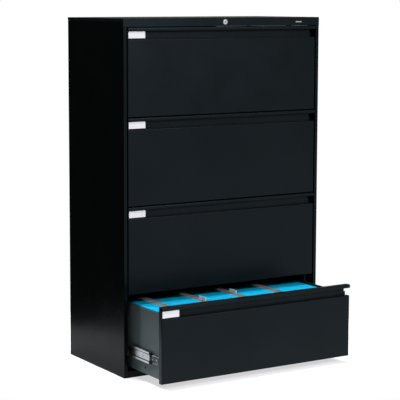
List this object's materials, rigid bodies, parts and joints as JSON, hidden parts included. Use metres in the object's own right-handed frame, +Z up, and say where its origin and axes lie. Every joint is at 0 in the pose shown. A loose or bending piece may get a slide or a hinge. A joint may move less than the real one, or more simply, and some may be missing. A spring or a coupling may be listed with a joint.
{
  "type": "lateral filing cabinet",
  "caption": "Tall lateral filing cabinet in folded steel with wide drawers on telescopic slides, full-width pulls, a lock and hanging folders in the open bottom drawer.",
  "frame": {"origin": "on the floor, at the centre of the case's footprint (the open drawer is not counted)", "axes": "+X to the right, +Y to the back, +Z up; the drawers open along -Y"},
  "size_m": [0.914, 0.711, 1.385],
  "materials": {
    "case_paint": "smooth satin black powder coat on folded steel sheet",
    "front_paint": "smooth satin black powder coat",
    "box_paint": "dark grey baked enamel",
    "structure_paint": "dark grey baked enamel, hidden",
    "zinc": "bright zinc plated, rolled",
    "chrome": "polished chrome plate",
    "black_plastic": "matt moulded plastic",
    "label_card": "plain white card",
    "folder_blue": "dyed folder card",
    "folder_grey": "grey-brown folder card",
    "tab_plastic": "translucent white plastic with a paper insert"
  },
  "bodies": {
    "case": {"side_panel_left": "case_paint", "side_panel_right": "case_paint", "back_panel": "case_paint", "top_panel": "front_paint", "base_frame": "case_paint", "base_pan": "case_paint", "counterweight": "structure_paint", "uprights": "structure_paint", "slide_case_members": "zinc", "lock_housing": "chrome", "lock_guides": "structure_paint", "badge_plate": "zinc", "glide_brackets": "zinc"},
    "drawer_1": {"drawer_front_1": "front_paint", "drawer_liner_1": "box_paint", "drawer_body_1": "box_paint", "hang_rails_1": "zinc", "label_holder_1": "black_plastic", "label_card_1": "label_card", "slide_drawer_members_1": "zinc"},
    "slide_1": {"slide_middle_members_1": "zinc", "slide_retainers_1": "black_plastic"},
    "drawer_2": {"drawer_front_2": "front_paint", "drawer_liner_2": "box_paint", "drawer_body_2": "box_paint", "hang_rails_2": "zinc", "label_holder_2": "black_plastic", "label_card_2": "label_card", "slide_drawer_members_2": "zinc"},
    "slide_2": {"slide_middle_members_2": "zinc", "slide_retainers_2": "black_plastic"},
    "drawer_3": {"drawer_front_3": "front_paint", "drawer_liner_3": "box_paint", "drawer_body_3": "box_paint", "hang_rails_3": "zinc", "label_holder_3": "black_plastic", "label_card_3": "label_card", "slide_drawer_members_3": "zinc"},
    "slide_3": {"slide_middle_members_3": "zinc", "slide_retainers_3": "black_plastic"},
    "drawer_4": {"drawer_front_4": "front_paint", "drawer_liner_4": "box_paint", "drawer_body_4": "box_paint", "hang_rails_4": "zinc", "label_holder_4": "black_plastic", "label_card_4": "label_card", "slide_drawer_members_4": "zinc", "hanging_folders": "folder_blue", "divider_folders": "folder_grey", "index_tabs": "tab_plastic"},
    "slide_4": {"slide_middle_members_4": "zinc", "slide_retainers_4": "black_plastic"},
    "lock": {"lock_plug": "chrome", "lock_cam": "zinc"},
    "lock_link": {"lock_link": "zinc"},
    "lock_bar": {"lock_bar": "structure_paint"},
    "glide_front_left": {"glide_front_left": "black_plastic"},
    "glide_front_right": {"glide_front_right": "black_plastic"},
    "glide_rear_left": {"glide_rear_left": "black_plastic"},
    "glide_rear_right": {"glide_rear_right": "black_plastic"}
  },
  "joints": [
    {"name": "drawer_1_slide", "type": "slide", "parent": "case", "child": "drawer_1", "axis": [0, -1, 0], "range_m": [0, 0.4]},
    {"name": "slide_1_extend", "type": "slide", "parent": "case", "child": "slide_1", "axis": [0, -1, 0], "range_m": [0, 0.288]},
    {"name": "drawer_2_slide", "type": "slide", "parent": "case", "child": "drawer_2", "axis": [0, -1, 0], "range_m": [0, 0.4]},
    {"name": "slide_2_extend", "type": "slide", "parent": "case", "child": "slide_2", "axis": [0, -1, 0], "range_m": [0, 0.288]},
    {"name": "drawer_3_slide", "type": "slide", "parent": "case", "child": "drawer_3", "axis": [0, -1, 0], "range_m": [0, 0.4]},
    {"name": "slide_3_extend", "type": "slide", "parent": "case", "child": "slide_3", "axis": [0, -1, 0], "range_m": [0, 0.288]},
    {"name": "drawer_4_slide", "type": "slide", "parent": "case", "child": "drawer_4", "axis": [0, -1, 0], "range_m": [-0.25, 0.15]},
    {"name": "slide_4_extend", "type": "slide", "parent": "case", "child": "slide_4", "axis": [0, -1, 0], "range_m": [-0.18, 0.108]},
    {"name": "lock_bar_drop", "type": "slide", "parent": "case", "child": "lock_bar", "axis": [0, 0, -1], "range_m": [0, 0.01414]},
    {"name": "lock_link_slide", "type": "slide", "parent": "case", "child": "lock_link", "axis": [1, 0, 0], "range_m": [0, 0.01414]},
    {"name": "lock_turn", "type": "hinge", "parent": "case", "child": "lock", "pos_m": [0, -0.2285, 1.3685], "axis": [0, -1, 0], "range_deg": [0, 90]},
    {"name": "glide_front_left_height", "type": "slide", "parent": "case", "child": "glide_front_left", "axis": [0, 0, 1], "range_m": [-0.012, 0]},
    {"name": "glide_front_right_height", "type": "slide", "parent": "case", "child": "glide_front_right", "axis": [0, 0, 1], "range_m": [-0.012, 0]},
    {"name": "glide_rear_left_height", "type": "slide", "parent": "case", "child": "glide_rear_left", "axis": [0, 0, 1], "range_m": [-0.012, 0]},
    {"name": "glide_rear_right_height", "type": "slide", "parent": "case", "child": "glide_rear_right", "axis": [0, 0, 1], "range_m": [-0.012, 0]}
  ],
  "couplings": [
    {"joint": "slide_1_extend", "follows": "drawer_1_slide", "ratio": 0.72},
    {"joint": "slide_2_extend", "follows": "drawer_2_slide", "ratio": 0.72},
    {"joint": "slide_3_extend", "follows": "drawer_3_slide", "ratio": 0.72},
    {"joint": "slide_4_extend", "follows": "drawer_4_slide", "ratio": 0.72},
    {"joint": "lock_link_slide", "follows": "lock_bar_drop", "ratio": 1},
    {"joint": "lock_turn", "follows": "lock_bar_drop", "rad_per_m": 111.09}
  ]
}
